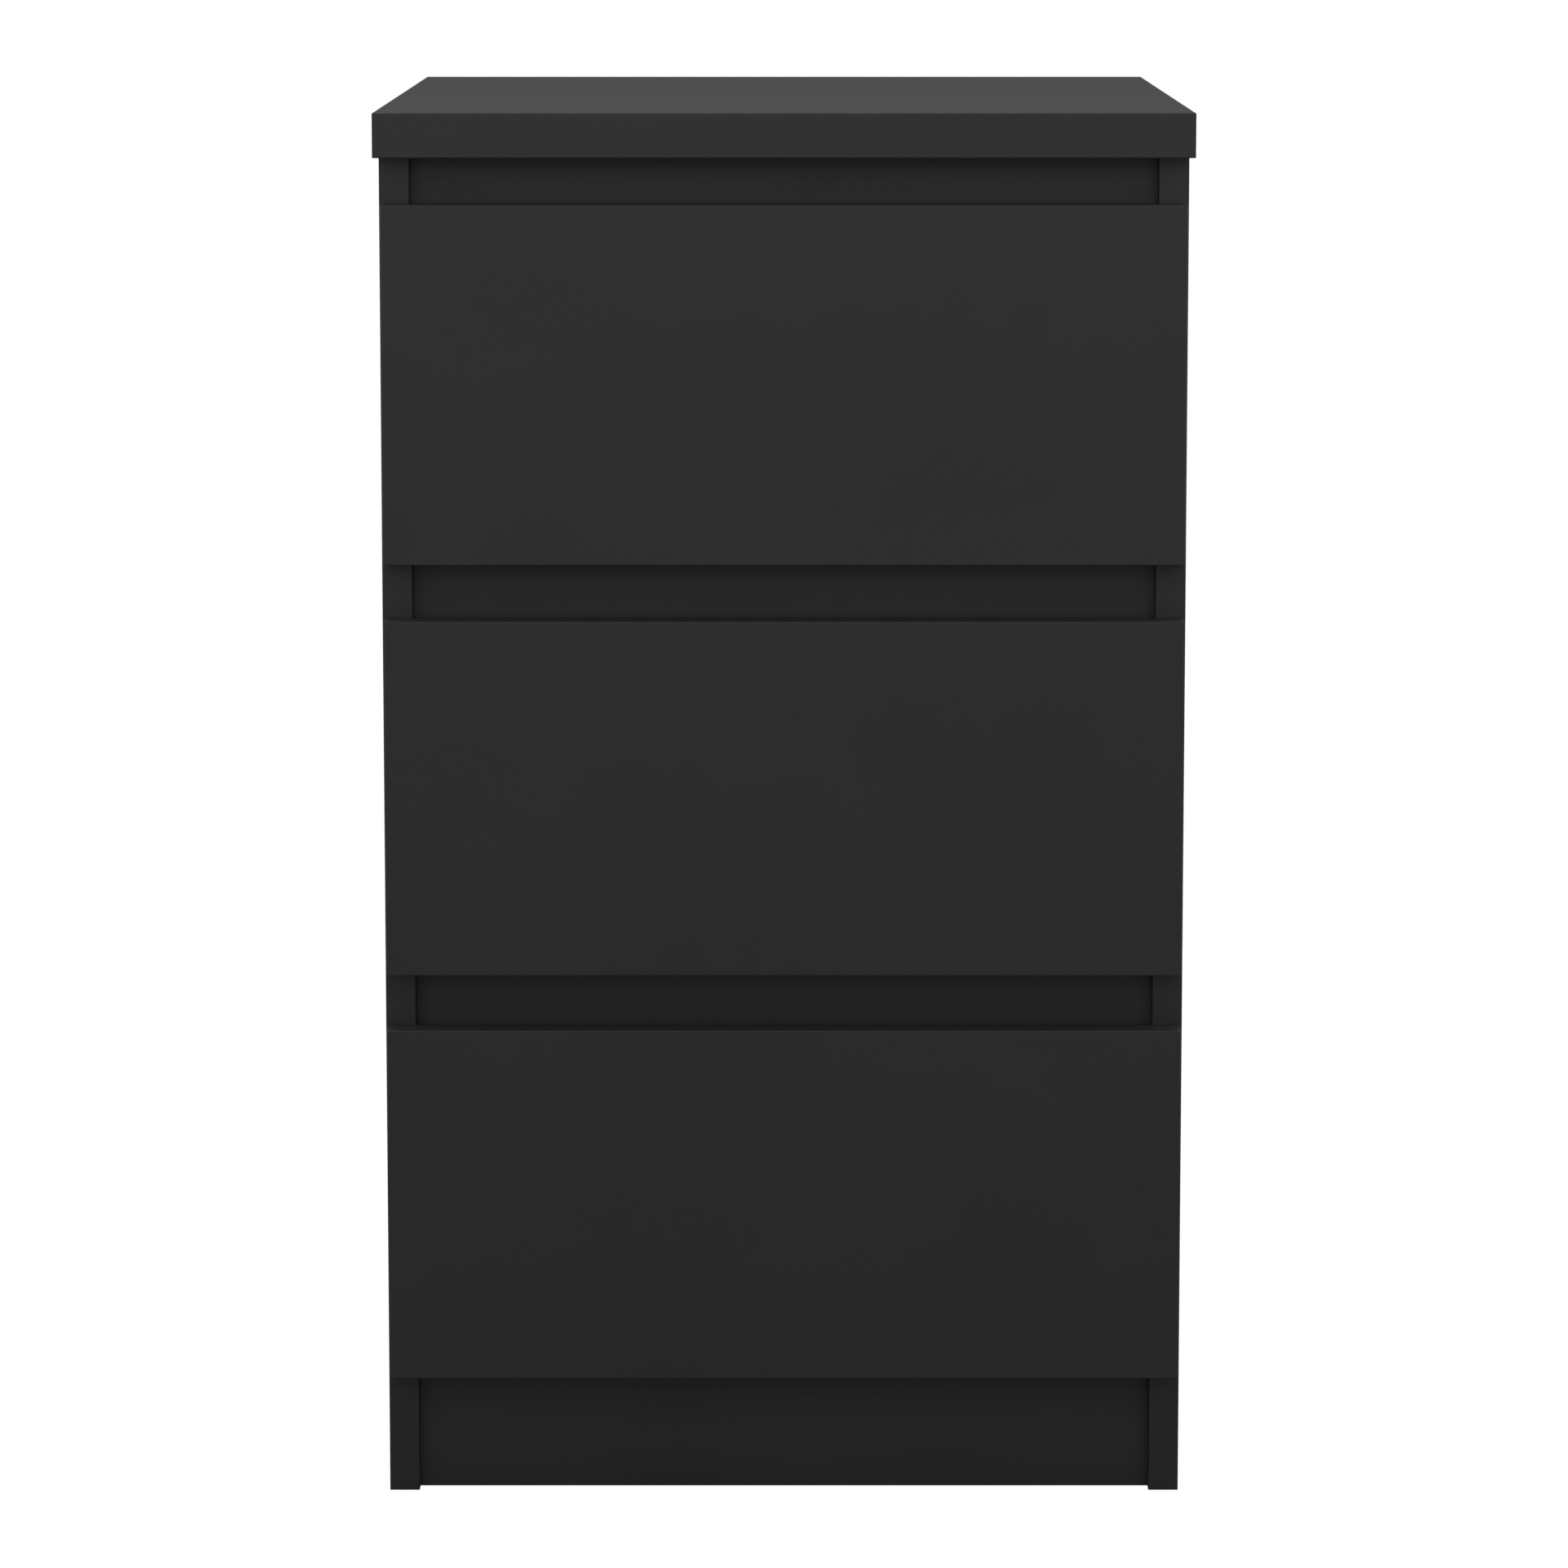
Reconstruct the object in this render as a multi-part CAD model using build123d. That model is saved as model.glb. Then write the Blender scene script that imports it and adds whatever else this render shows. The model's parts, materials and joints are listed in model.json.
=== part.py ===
from build123d import *
import os

# A three-drawer nightstand of melamine-faced board. Millimetres throughout.
# X is the width, Y runs from the front to the back, Z is up. The origin is on
# the floor under the middle of the top board. Left and right are those of
# someone who stands in front of it.

# Boards
panel_thickness = 15.0
top_thickness = 22.0
front_thickness = 16.0
drawer_board = 12.0
hardboard = 3.0
edge_radius = 0.5

# Body, measured over its two side panels
body_width = 400.0
body_depth = 480.0
top_side_overhang = 2.0
top_rear_overhang = 2.0
top_nose = 3.0  # how far the top board stands ahead of the drawer fronts

# Drawer fronts, from the floor up
levels = ("bottom", "middle", "top")
toe_height = 62.0  # the lowest front's lower edge over the floor
front_height = 178.0
front_gap = 28.0  # between two fronts
top_gap = 23.0  # between the highest front and the top board
front_side_reveal = 1.5  # side panel edge left showing beside a front
front_standoff = 1.0  # closed front to the side panels' edges

# Rails and plinth, set back between the side panels
rail_setback = 9.0
rail_lap = 16.0  # how far a rail reaches behind each front beside it
stretcher_depth = 60.0

# Back panel in its grooves
back_inset = 10.0
groove_depth = 5.0
groove_fit = 0.1
groove_end_gap = 0.3

# Drawer box
box_rear_clearance = 18.0  # to the back panel
box_under_clearance = 10.0  # from a rail's upper edge up to the drawer sides
box_over_clearance = 11.0  # from the drawer sides up to the next rail
bottom_height = 12.0  # the drawer bottom over the sides' lower edge

# Roller runners
runner_space = 12.5  # between a drawer side and the side panel
runner_gauge = 1.2
runner_tail = 3.0  # the fixed runner reaches this far behind the drawer
runner_setback = 2.0  # behind the side panels' front edges
runner_front_gap = 1.0  # from the drawer front to the drawer's own runner
flange_gap = 1.5  # from the fixed flanges to the moving web
pass_gap = 2.3  # from a moving lip or axle to what it passes
bend_radius = 0.5
roller_radius = 10.0
roller_inset = 14.0  # axle to the runner's end
roller_side_gap = 0.3
roller_edge = 0.8
track_gap = 0.3  # roller to its track
lip_clearance = 0.7  # drawer roller to the lip above it
flange_clearance = 1.0  # lip to the fixed upper flange
axle_radius = 2.5
axle_fit = 0.08
axle_head_radius = 4.5
axle_head_thickness = 0.8
runner_overlap = 100.0  # of the runners' length, kept when the drawer is open
stop_height = 4.0

# Fittings
fitting_fit = 0.1
fitting_end_gap = 0.5
fitting_spacing = 20.0  # cam bolt to dowel in a rail's end
fitting_inset = 90.0  # cam bolt to the ends of a deep board
fitting_step = 32.0  # cam bolt to dowel in a deep board
bolt_thread_radius = 2.5
bolt_thread_length = 11.0
bolt_shank_radius = 3.0
bolt_neck_radius = 2.0
bolt_head_length = 2.5
cam_radius = 7.5
cam_depth = 12.0
cam_reach = 34.0
small_cam_radius = 6.0
small_cam_depth = 9.5
small_cam_reach = 24.0
cam_slack = 0.3
cam_cross_length = 6.0
cam_cross_width = 1.2
cam_cross_depth = 1.5
dowel_radius = 4.0
dowel_in_panel = 10.0
dowel_in_rail = 20.0
dowel_chamfer = 1.0
box_fitting_inset = 38.0  # drawer cams and screws to the sides' upper and lower edges
screw_radius = 1.75
runner_screw_length = 12.0
runner_screws = 3  # along each runner
runner_screw_inset = 37.0
runner_slots = 2  # between two screws, in every web
runner_slot_length = 14.0
runner_slot_width = 5.0
pan_head_radius = 4.0
pan_head_height = 1.4
runner_screw_to_face = 5.0  # from the drawer side's outer face
back_screw_length = 40.0
flat_head_radius = 3.5
flat_head_height = 2.0

# Places that follow from the sizes above
top_front_overhang = front_standoff + front_thickness + top_nose
half_depth = (top_front_overhang + body_depth + top_rear_overhang) / 2
body_front = top_front_overhang - half_depth
body_rear = body_front + body_depth
body_height = (
    toe_height + len(levels) * front_height + (len(levels) - 1) * front_gap + top_gap
)
inner_x = body_width / 2 - panel_thickness
front_back_y = body_front - front_standoff
front_face_y = front_back_y - front_thickness
rail_front = body_front + rail_setback
rail_rear = rail_front + panel_thickness
back_rear = body_rear - back_inset
back_front = back_rear - hardboard
box_outer_x = inner_x - runner_space
box_inner_x = box_outer_x - drawer_board
box_rear = back_front - box_rear_clearance
box_depth = box_rear - front_back_y
box_height = front_height - 2 * rail_lap - box_under_clearance - box_over_clearance
runner_front = body_front + runner_setback
runner_length = box_rear + runner_tail - runner_front
drawer_travel = runner_length - runner_overlap
lip_reach = runner_space - 2 * runner_gauge - pass_gap
roller_width = lip_reach - 2 * roller_side_gap - axle_head_thickness
flange_reach = runner_space - flange_gap
lip_underside = 2 * roller_radius + track_gap + lip_clearance
flange_underside = lip_underside + runner_gauge + flange_clearance
screw_height = flange_underside / 2


def slab(x_span, y_span, z_span):
    """Box between a low and a high value on each axis, given in any order."""
    spans = [sorted(span) for span in (x_span, y_span, z_span)]
    middle = [(low + high) / 2 for low, high in spans]
    return Pos(*middle) * Box(*[high - low for low, high in spans])


def rod(start, direction, radius, length):
    """Cylinder of that length from start along direction."""
    place = Plane(origin=Vector(start), z_dir=Vector(direction))
    return place * Cylinder(radius, length, align=(Align.CENTER, Align.CENTER, Align.MIN))


def touches(one, other):
    """Whether the boxes around two shapes overlap."""
    a, b = one.bounding_box(), other.bounding_box()
    return all(
        low < high
        for low, high in (
            (a.min.X, b.max.X),
            (b.min.X, a.max.X),
            (a.min.Y, b.max.Y),
            (b.min.Y, a.max.Y),
            (a.min.Z, b.max.Z),
            (b.min.Z, a.max.Z),
        )
    )


def drilled(board, spaces):
    """The board less the space of every fitting that reaches into it."""
    near = [space for space in spaces if touches(board, space)]
    return board - near if near else board


def save(name, *solids):
    """Write one piece, or a set of equal pieces, as a STEP file."""
    shape = solids[0] if len(solids) == 1 else Compound(list(solids))
    export_step(shape, f"parts/{name}.step")


# Fittings. A seat is the point in the joint between two boards that a fitting
# crosses, and ahead points from the board that holds the thread into the other.


def cam_bolt(seat, ahead, reach, radius):
    """Bolt with its thread behind the seat and its head in the cam."""
    seat, ahead = Vector(seat), Vector(ahead)
    neck_start = reach - radius - cam_slack - fitting_fit
    head_start = reach - bolt_head_length
    thread = rod(seat - ahead * bolt_thread_length, ahead, bolt_thread_radius, bolt_thread_length)
    shank = rod(seat, ahead, bolt_shank_radius, neck_start)
    neck = rod(seat + ahead * neck_start, ahead, bolt_neck_radius, head_start - neck_start)
    head = rod(seat + ahead * head_start, ahead, bolt_shank_radius, bolt_head_length)
    return thread + shank + neck + head


def cam_lock(seat, ahead, face, half_board, reach, radius, depth):
    """Round cam, flush with the board's face, hollow where it grips the bolt's head."""
    seat, ahead, face = Vector(seat), Vector(ahead), Vector(face)
    mouth = seat + ahead * reach + face * half_board
    head_start = reach - bolt_head_length - cam_slack
    rim = reach - radius - 2 * fitting_fit
    body = rod(mouth, -face, radius, depth)
    neck_space = rod(seat + ahead * rim, ahead, bolt_neck_radius + cam_slack, head_start - rim)
    head_space = rod(
        seat + ahead * head_start,
        ahead,
        bolt_shank_radius + cam_slack,
        bolt_head_length + 2 * cam_slack,
    )
    place = Plane(origin=mouth, z_dir=face)
    sunk = (Align.CENTER, Align.CENTER, Align.MAX)
    bar = Box(cam_cross_length, cam_cross_width, cam_cross_depth, align=sunk)
    return body - neck_space - head_space - place * bar - place * Rot(0, 0, 90) * bar


def cam_space(seat, ahead, face, half_board, reach, radius, depth):
    """What a cam bolt and its cam take out of the two boards."""
    seat, ahead, face = Vector(seat), Vector(ahead), Vector(face)
    thread_length = bolt_thread_length + fitting_end_gap
    mouth = seat + ahead * reach + face * (half_board + fitting_end_gap)
    thread = rod(seat - ahead * thread_length, ahead, bolt_thread_radius + fitting_fit, thread_length)
    bore = rod(seat, ahead, bolt_shank_radius + fitting_fit, reach)
    pocket = rod(mouth, -face, radius + fitting_fit, depth + fitting_end_gap + fitting_fit)
    return thread + bore + pocket


def dowel(seat, ahead):
    """Wooden dowel across a joint."""
    seat, ahead = Vector(seat), Vector(ahead)
    peg = rod(seat - ahead * dowel_in_panel, ahead, dowel_radius, dowel_in_panel + dowel_in_rail)
    rims = peg.edges().filter_by(GeomType.CIRCLE)
    return chamfer(rims, dowel_chamfer)


def dowel_space(seat, ahead):
    """The two holes of a dowel."""
    seat, ahead = Vector(seat), Vector(ahead)
    behind = dowel_in_panel + fitting_end_gap
    length = behind + dowel_in_rail + fitting_end_gap
    return rod(seat - ahead * behind, ahead, dowel_radius + fitting_fit, length)


def pan_screw(seat, ahead, length, fit=0.0):
    """Screw with its round head behind the seat, or with a fit, the hole of its shank."""
    seat, ahead = Vector(seat), Vector(ahead)
    shank = rod(seat, ahead, screw_radius + fit, length + (fitting_end_gap if fit else 0))
    if fit:
        return shank
    head = rod(seat - ahead * pan_head_height, ahead, pan_head_radius, pan_head_height)
    return head + shank


def flat_screw(seat, ahead, length, fit=0.0):
    """Countersunk screw, flush at its seat, or with a fit, the space that it takes."""
    seat, ahead = Vector(seat), Vector(ahead)
    place = Plane(origin=seat, z_dir=ahead)
    low = (Align.CENTER, Align.CENTER, Align.MIN)
    head = Cone(flat_head_radius + fit, screw_radius + fit, flat_head_height + fit, align=low)
    shank = Cylinder(screw_radius + fit, length + (fitting_end_gap if fit else 0), align=low)
    return place * (head + shank)


# Body


def rail_heights():
    """Lower and upper edge of each upright board behind the gaps, by name."""
    rails = {"plinth": (0.0, toe_height + rail_lap)}
    for name, level in (("lower_mid_rail", 1), ("upper_mid_rail", 2)):
        upper_front = front_bottom(level)
        rails[name] = (upper_front - front_gap - rail_lap, upper_front + rail_lap)
    rails["top_rail"] = (body_height - top_gap - rail_lap, body_height)
    return rails


def front_bottom(level):
    """Height of a drawer front's lower edge; level 0 is the lowest."""
    return toe_height + level * (front_height + front_gap)


def body_joints():
    """Seat, direction and cam face of each cam fitting, and seat and direction of each dowel."""
    cams = []
    dowels = []
    rail_y = (rail_front + rail_rear) / 2
    floor_z = toe_height + rail_lap - panel_thickness / 2
    stretcher_y = back_front - stretcher_depth / 2
    stretcher_z = body_height - panel_thickness / 2
    for side in (-1, 1):
        inward = (-side, 0, 0)
        face_x = side * inner_x
        for low, high in rail_heights().values():
            middle = (low + high) / 2
            cams.append(((face_x, rail_y, middle + fitting_spacing / 2), inward, (0, 1, 0)))
            dowels.append(((face_x, rail_y, middle - fitting_spacing / 2), inward))
        cams.append(((face_x, stretcher_y + fitting_spacing / 2, stretcher_z), inward, (0, 0, -1)))
        dowels.append(((face_x, stretcher_y - fitting_spacing / 2, stretcher_z), inward))
        panel_x = side * (inner_x + panel_thickness / 2)
        for end, step in ((body_front + fitting_inset, fitting_step),
                          (body_rear - fitting_inset, -fitting_step)):
            cams.append(((face_x, end, floor_z), inward, (0, 0, -1)))
            dowels.append(((face_x, end + step, floor_z), inward))
            cams.append(((panel_x, end, body_height), (0, 0, -1), inward))
            dowels.append(((panel_x, end + step, body_height), (0, 0, -1)))
    return cams, dowels


def body_cam(make, joint):
    """A cam lock or its space at one of the body's joints."""
    seat, ahead, face = joint
    return make(seat, ahead, face, panel_thickness / 2, cam_reach, cam_radius, cam_depth)


def cabinet_screw_seats(side, level):
    """Where the screws of one cabinet runner sit on its web."""
    step = (runner_length - 2 * runner_screw_inset) / (runner_screws - 1)
    x = side * (inner_x - runner_gauge)
    z = track_height(level) + screw_height
    return [
        (x, runner_front + runner_screw_inset + number * step, z)
        for number in range(runner_screws)
    ]


def side_panel(side, spaces):
    """Upright board with the back panel's groove along its inner face."""
    board = slab((side * inner_x, side * body_width / 2), (body_front, body_rear), (0, body_height))
    board = fillet(board.edges().filter_by(Axis.Z), edge_radius)
    groove = slab(
        (side * (inner_x - groove_depth), side * (inner_x + groove_depth)),
        (back_front - groove_fit, back_rear + groove_fit),
        (0, body_height),
    )
    return drilled(board - groove, spaces)


def top_board(spaces):
    """Thick board over the whole body, with eased edges."""
    half_width = body_width / 2 + top_side_overhang
    board = slab(
        (-half_width, half_width),
        (-half_depth, half_depth),
        (body_height, body_height + top_thickness),
    )
    return drilled(fillet(board.edges(), edge_radius), spaces)


def save_body():
    """The fixed boards and the fittings that join them."""
    cams, dowels = body_joints()
    spaces = [body_cam(cam_space, joint) for joint in cams]
    spaces += [dowel_space(*joint) for joint in dowels]
    screws = []
    for side in (-1, 1):
        for level in range(len(levels)):
            for seat in cabinet_screw_seats(side, level):
                screws.append((seat, (side, 0, 0), runner_screw_length))
    spaces += [pan_screw(*screw, fit=fitting_fit) for screw in screws]
    save("left_side_panel", side_panel(-1, spaces))
    save("right_side_panel", side_panel(1, spaces))
    save("top_board", top_board(spaces))
    for name, heights in rail_heights().items():
        save(name, drilled(slab((-inner_x, inner_x), (rail_front, rail_rear), heights), spaces))
    floor_top = toe_height + rail_lap
    floor_underside = floor_top - panel_thickness
    floor = slab((-inner_x, inner_x), (rail_rear, back_front), (floor_underside, floor_top))
    save("bottom_panel", drilled(floor, spaces))
    stretcher = slab(
        (-inner_x, inner_x),
        (back_front - stretcher_depth, back_front),
        (body_height - panel_thickness, body_height),
    )
    save("rear_stretcher", drilled(stretcher, spaces))
    back_half = inner_x + groove_depth - groove_end_gap
    back = slab((-back_half, back_half), (back_front, back_rear), (floor_underside, body_height))
    save("back_panel", back)
    bolts = [cam_bolt(seat, ahead, cam_reach, cam_radius) for seat, ahead, face in cams]
    save("cam_bolts", *bolts)
    save("cam_locks", *[body_cam(cam_lock, joint) for joint in cams])
    save("dowels", *[dowel(*joint) for joint in dowels])
    save("cabinet_runner_screws", *[pan_screw(*screw) for screw in screws])


# Runners. Heights count from the track that the drawer's rollers run on, which
# is level with the drawer sides' lower edge.


def track_height(level):
    """Height of a drawer's tracks over the floor."""
    return front_bottom(level) + rail_lap + box_under_clearance


def folded(outline, side, y_span, base):
    """Sheet steel section, given as width from the side panel's face and height, drawn out."""
    points = [(side * (inner_x - across), base + up) for across, up in outline]
    face = make_face(Polyline(*points, close=True))
    face = fillet(face.vertices(), bend_radius)
    low, high = sorted(y_span)
    section = Plane(origin=(0, low, 0), x_dir=(1, 0, 0), z_dir=(0, -1, 0)) * face
    return extrude(section, -(high - low))


def web_slots(side, web_start, seats, height):
    """Oblong holes through an upright web, spread evenly between its screws."""
    through = runner_gauge + 2 * fitting_fit
    slots = []
    for (_, before, _), (_, after, _) in zip(seats, seats[1:]):
        for number in range(1, runner_slots + 1):
            y = before + (after - before) * number / (runner_slots + 1)
            origin = (side * (web_start - fitting_fit), y, height)
            place = Plane(origin=origin, x_dir=(0, 1, 0), z_dir=(side, 0, 0))
            slots.append(extrude(place * SlotOverall(runner_slot_length, runner_slot_width), through))
    return slots


def axle(seat, ahead):
    """Riveted axle with its head, from the web's face."""
    seat, ahead = Vector(seat), Vector(ahead)
    length = 2 * roller_side_gap + roller_width
    pin = rod(seat, ahead, axle_radius, length)
    return pin + rod(seat + ahead * length, ahead, axle_head_radius, axle_head_thickness)


def roller(seat, ahead):
    """Nylon roller on an axle that starts at the seat."""
    seat, ahead = Vector(seat), Vector(ahead)
    start = seat + ahead * roller_side_gap
    wheel = rod(start, ahead, roller_radius, roller_width)
    wheel = fillet(wheel.edges().filter_by(GeomType.CIRCLE), roller_edge)
    return wheel - rod(start, ahead, axle_radius + axle_fit, roller_width)


def cabinet_axle(side, level):
    """Seat and direction of the axle at the front of a cabinet runner."""
    height = track_height(level) + lip_underside - track_gap - roller_radius
    seat = (side * (inner_x - runner_gauge), runner_front + roller_inset, height)
    return seat, (-side, 0, 0)


def drawer_axle(side, level):
    """Seat and direction of the axle at the rear of a drawer's runner."""
    height = track_height(level) + track_gap + roller_radius
    seat = (side * (box_outer_x + runner_gauge), box_rear - roller_inset, height)
    return seat, (side, 0, 0)


def cabinet_runner(side, level):
    """Channel on the side panel, with its roller's axle and the stop of the open drawer."""
    base = track_height(level)
    inner = runner_gauge
    outline = [
        (0, -runner_gauge),
        (flange_reach, -runner_gauge),
        (flange_reach, 0),
        (inner, 0),
        (inner, flange_underside),
        (flange_reach, flange_underside),
        (flange_reach, flange_underside + runner_gauge),
        (0, flange_underside + runner_gauge),
    ]
    channel = folded(outline, side, (runner_front, runner_front + runner_length), base)
    seat, ahead = drawer_axle(side, level)
    below_axle = roller_radius + track_gap - stop_height
    reach_at_stop = (roller_radius**2 - below_axle**2) ** 0.5
    stop_rear = seat[1] - drawer_travel - reach_at_stop - track_gap
    stop = slab(
        (side * (inner_x - flange_reach), side * (inner_x - runner_gauge)),
        (stop_rear - runner_gauge, stop_rear),
        (base - runner_gauge / 2, base + stop_height),
    )
    screws = cabinet_screw_seats(side, level)
    spaces = [pan_screw(seat, (side, 0, 0), runner_screw_length, fit=fitting_fit) for seat in screws]
    spaces += web_slots(side, inner_x - runner_gauge, screws, base + screw_height)
    return channel + stop + axle(*cabinet_axle(side, level)) - spaces


def drawer_screw_seats(side, level):
    """Where the screws of a drawer's runner sit under its foot flange."""
    step = (box_depth - runner_front_gap - 2 * runner_screw_inset) / (runner_screws - 1)
    x = side * (box_outer_x - runner_screw_to_face)
    z = track_height(level) - runner_gauge
    first = front_back_y + runner_front_gap + runner_screw_inset
    return [(x, first + number * step, z) for number in range(runner_screws)]


def drawer_runner(side, level):
    """Rail on the drawer side: a foot under it, a web beside it and a lip outward."""
    web_out = runner_space - runner_gauge
    lip_end = web_out - lip_reach
    foot_end = runner_space + drawer_board
    outline = [
        (foot_end, -runner_gauge),
        (web_out, -runner_gauge),
        (web_out, lip_underside),
        (lip_end, lip_underside),
        (lip_end, lip_underside + runner_gauge),
        (runner_space, lip_underside + runner_gauge),
        (runner_space, 0),
        (foot_end, 0),
    ]
    start = front_back_y + runner_front_gap
    base = track_height(level)
    rail = folded(outline, side, (start, box_rear), base)
    screws = drawer_screw_seats(side, level)
    spaces = [pan_screw(seat, (0, 0, 1), runner_screw_length, fit=fitting_fit) for seat in screws]
    spaces += web_slots(side, box_outer_x, screws, base + lip_underside / 2)
    return rail + axle(*drawer_axle(side, level)) - spaces


# Drawers


def box_joints(side, level):
    """Seats of the cams at a drawer side's front end, and of the screws at its rear end."""
    base = track_height(level)
    x = side * (box_outer_x - drawer_board / 2)
    heights = (base + box_fitting_inset, base + box_height - box_fitting_inset)
    cams = [((x, front_back_y, z), (0, 1, 0), (side, 0, 0)) for z in heights]
    rear_y = box_rear - drawer_board / 2
    screws = [((side * box_outer_x, rear_y, z), (-side, 0, 0), back_screw_length) for z in heights]
    return cams, screws


def box_cam(make, joint):
    """A cam lock or its space at one of a drawer's joints."""
    seat, ahead, face = joint
    half = drawer_board / 2
    return make(seat, ahead, face, half, small_cam_reach, small_cam_radius, small_cam_depth)


def bottom_groove(level, slack):
    """The drawer bottom's own outline, with slack for the groove that it sits in."""
    half_width = box_inner_x + groove_depth
    base = track_height(level) + bottom_height
    shrink = groove_end_gap if not slack else 0
    return slab(
        (-half_width + shrink, half_width - shrink),
        (front_back_y - groove_depth + shrink, box_rear - drawer_board + groove_depth - shrink),
        (base - slack, base + hardboard + slack),
    )


def drawer_side(side, level, spaces):
    """Side board, eased along the edge that the runner wraps."""
    base = track_height(level)
    board = slab(
        (side * box_inner_x, side * box_outer_x), (front_back_y, box_rear), (base, base + box_height)
    )
    lower = board.edges().filter_by(Axis.Y).group_by(Axis.Z)[0].sort_by(Axis.X)
    wrapped = lower[-1] if side > 0 else lower[0]
    board = chamfer(wrapped, bend_radius + fitting_fit)
    return drilled(board - bottom_groove(level, groove_fit), spaces)


def drawer_front(level, spaces):
    """Front board with eased edges; it overlaps the side panels' edges."""
    half_width = body_width / 2 - front_side_reveal
    low = front_bottom(level)
    board = slab((-half_width, half_width), (front_face_y, front_back_y), (low, low + front_height))
    board = fillet(board.edges(), edge_radius)
    return drilled(board - bottom_groove(level, groove_fit), spaces)


def save_drawer(name, level):
    """One drawer with its runners, its rollers and its fittings."""
    base = track_height(level)
    cams = []
    back_screws = []
    runner_seats = []
    for side in (-1, 1):
        side_cams, side_screws = box_joints(side, level)
        cams += side_cams
        back_screws += side_screws
        runner_seats += drawer_screw_seats(side, level)
    spaces = [box_cam(cam_space, joint) for joint in cams]
    spaces += [flat_screw(*screw, fit=fitting_fit) for screw in back_screws]
    holes = [pan_screw(seat, (0, 0, 1), runner_screw_length, fit=fitting_fit) for seat in runner_seats]
    save(f"{name}_drawer_front", drawer_front(level, spaces))
    save(f"{name}_drawer_left_side", drawer_side(-1, level, spaces + holes))
    save(f"{name}_drawer_right_side", drawer_side(1, level, spaces + holes))
    back = slab(
        (-box_inner_x, box_inner_x), (box_rear - drawer_board, box_rear), (base, base + box_height)
    )
    save(f"{name}_drawer_back", drilled(back - bottom_groove(level, groove_fit), spaces))
    save(f"{name}_drawer_bottom", bottom_groove(level, 0.0))
    bolts = [cam_bolt(seat, ahead, small_cam_reach, small_cam_radius) for seat, ahead, face in cams]
    save(f"{name}_drawer_cam_bolts", *bolts)
    save(f"{name}_drawer_cam_locks", *[box_cam(cam_lock, joint) for joint in cams])
    save(f"{name}_drawer_back_screws", *[flat_screw(*screw) for screw in back_screws])
    screws = [pan_screw(seat, (0, 0, 1), runner_screw_length) for seat in runner_seats]
    save(f"{name}_drawer_runner_screws", *screws)
    save(f"{name}_drawer_left_runner", drawer_runner(-1, level))
    save(f"{name}_drawer_right_runner", drawer_runner(1, level))
    save(f"{name}_left_cabinet_runner", cabinet_runner(-1, level))
    save(f"{name}_right_cabinet_runner", cabinet_runner(1, level))
    save(f"{name}_drawer_rollers", *[roller(*drawer_axle(side, level)) for side in (-1, 1)])
    save(f"{name}_cabinet_rollers", *[roller(*cabinet_axle(side, level)) for side in (-1, 1)])


os.makedirs("parts", exist_ok=True)
save_body()
for number, level_name in enumerate(levels):
    save_drawer(level_name, number)
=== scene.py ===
import json
import math
import bmesh
import bpy
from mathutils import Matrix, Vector

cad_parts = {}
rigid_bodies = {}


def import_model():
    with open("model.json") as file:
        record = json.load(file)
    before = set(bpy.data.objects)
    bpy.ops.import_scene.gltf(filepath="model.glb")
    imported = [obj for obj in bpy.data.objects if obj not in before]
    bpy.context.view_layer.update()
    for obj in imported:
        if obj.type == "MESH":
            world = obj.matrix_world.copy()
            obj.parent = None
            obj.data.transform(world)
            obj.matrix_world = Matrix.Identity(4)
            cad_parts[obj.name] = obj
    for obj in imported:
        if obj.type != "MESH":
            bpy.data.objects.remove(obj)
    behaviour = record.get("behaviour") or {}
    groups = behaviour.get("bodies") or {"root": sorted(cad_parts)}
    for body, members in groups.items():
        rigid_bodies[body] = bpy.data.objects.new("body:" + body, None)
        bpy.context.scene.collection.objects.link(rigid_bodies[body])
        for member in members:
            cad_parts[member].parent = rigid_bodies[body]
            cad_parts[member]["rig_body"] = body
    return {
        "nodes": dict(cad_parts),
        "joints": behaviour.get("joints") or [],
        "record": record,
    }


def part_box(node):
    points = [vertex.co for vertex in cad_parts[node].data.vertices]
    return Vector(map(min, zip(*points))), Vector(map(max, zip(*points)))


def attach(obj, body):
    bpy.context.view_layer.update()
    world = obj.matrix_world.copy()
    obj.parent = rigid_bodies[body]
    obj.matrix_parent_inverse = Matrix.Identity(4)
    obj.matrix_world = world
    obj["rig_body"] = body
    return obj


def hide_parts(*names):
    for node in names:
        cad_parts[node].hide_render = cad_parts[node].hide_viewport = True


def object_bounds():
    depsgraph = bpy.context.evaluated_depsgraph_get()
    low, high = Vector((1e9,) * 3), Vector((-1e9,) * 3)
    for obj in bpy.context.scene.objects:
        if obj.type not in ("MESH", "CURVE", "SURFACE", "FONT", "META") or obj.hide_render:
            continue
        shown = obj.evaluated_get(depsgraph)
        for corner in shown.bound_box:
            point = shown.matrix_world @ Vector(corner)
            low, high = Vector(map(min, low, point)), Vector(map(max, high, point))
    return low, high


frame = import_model()
cadLow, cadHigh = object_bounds()
nodes = frame["nodes"]
slotOf = {part["node"]: part["material_slot"] for part in frame["record"]["subparts"]}
print("frame loaded with", len(nodes), "pieces")


# helpers that every node tree below is built with

def addNode(tree, kind, inputs=None, **settings):
    made = tree.nodes.new(kind)
    for name, value in settings.items():
        setattr(made, name, value)
    for socket, value in (inputs or {}).items():
        if isinstance(value, bpy.types.NodeSocket):
            tree.links.new(value, made.inputs[socket])
        else:
            made.inputs[socket].default_value = value
    return made


def calc(tree, operation, *values):
    return addNode(tree, "ShaderNodeMath", dict(enumerate(values)), operation=operation).outputs[0]


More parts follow.
